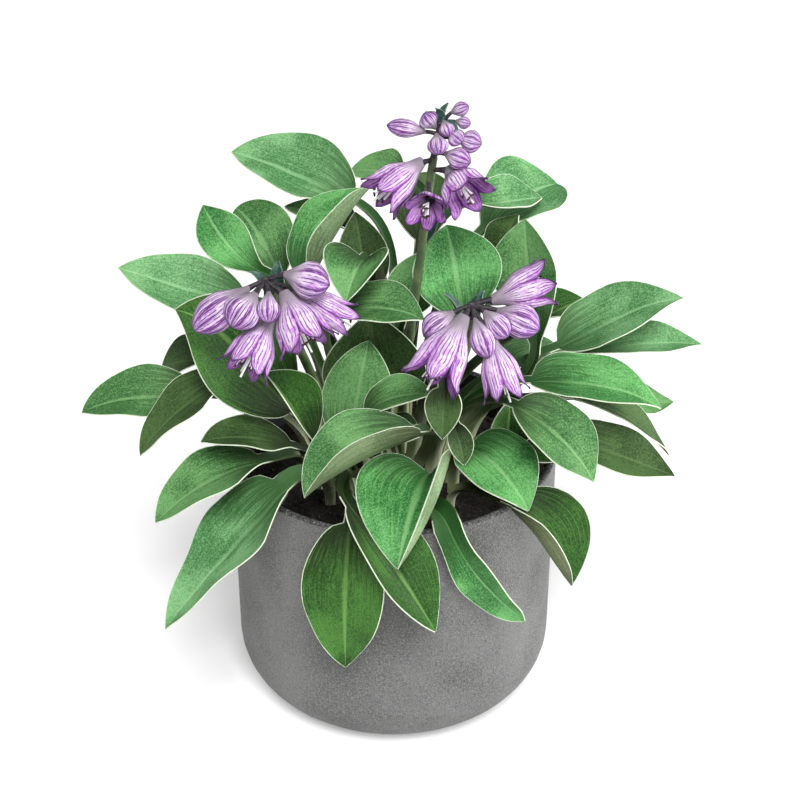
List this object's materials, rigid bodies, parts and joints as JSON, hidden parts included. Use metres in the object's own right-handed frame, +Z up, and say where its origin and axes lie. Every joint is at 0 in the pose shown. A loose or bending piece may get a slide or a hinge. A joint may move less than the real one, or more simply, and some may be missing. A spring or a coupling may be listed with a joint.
{
  "type": "potted plant",
  "caption": "Small hosta with broad cream-edged green leaves and lilac bell flowers in a round grey pot.",
  "frame": {"origin": "centre of the pot's underside", "axes": "+Z up along the pot's axis, -Y to the front of the plant, +X to its right"},
  "size_m": [0.3113, 0.2392, 0.3199],
  "materials": {
    "pot": "fine speckled matt grey, dark inside",
    "soil": "dark moist potting soil",
    "leaf": "satin green blade with fine parallel veins and a thin cream edge",
    "stem": "dull green, darker bracts",
    "petal": "lilac petals with purple stripes, dark stalklets"
  },
  "bodies": {
    "root": {"flowers_left": "petal", "flowers_right": "petal", "flowers_top": "petal", "leaf_back_left_low": "leaf", "leaf_back_low": "leaf", "leaf_back_right_dark": "leaf", "leaf_back_right_low": "leaf", "leaf_back_right_mid": "leaf", "leaf_far_left": "leaf", "leaf_front_arch": "leaf", "leaf_front_crossing": "leaf", "leaf_front_hanging": "leaf", "leaf_front_left_long": "leaf", "leaf_front_spoon": "leaf", "leaf_front_strap": "leaf", "leaf_left_front_flat": "leaf", "leaf_left_front_low": "leaf", "leaf_left_reach": "leaf", "leaf_left_second": "leaf", "leaf_left_shadow": "leaf", "leaf_left_small": "leaf", "leaf_left_tall": "leaf", "leaf_left_up_back": "leaf", "leaf_left_up_front": "leaf", "leaf_left_upright": "leaf", "leaf_middle_back": "leaf", "leaf_middle_cup": "leaf", "leaf_middle_dark": "leaf", "leaf_middle_drop": "leaf", "leaf_middle_heart": "leaf", "leaf_middle_low": "leaf", "leaf_middle_shade": "leaf", "leaf_middle_side": "leaf", "leaf_middle_slim": "leaf", "leaf_middle_thin": "leaf", "leaf_right_back_small": "leaf", "leaf_right_cup": "leaf", "leaf_right_down": "leaf", "leaf_right_facing": "leaf", "leaf_right_front": "leaf", "leaf_right_front_low": "leaf", "leaf_right_low_long": "leaf", "leaf_right_peek": "leaf", "leaf_right_shade": "leaf", "leaf_right_tall": "leaf", "leaf_right_under": "leaf", "leaf_right_upper": "leaf", "leaf_right_upper_under": "leaf", "leaf_right_wide": "leaf", "leaf_top_behind": "leaf", "leaf_top_left": "leaf", "leaf_top_left_under": "leaf", "leaf_top_right_fold": "leaf", "leaf_top_right_round": "leaf", "leaf_top_small": "leaf", "pot": "pot", "soil": "soil", "stem_left": "stem", "stem_right": "stem", "stem_top": "stem"}
  },
  "joints": []
}
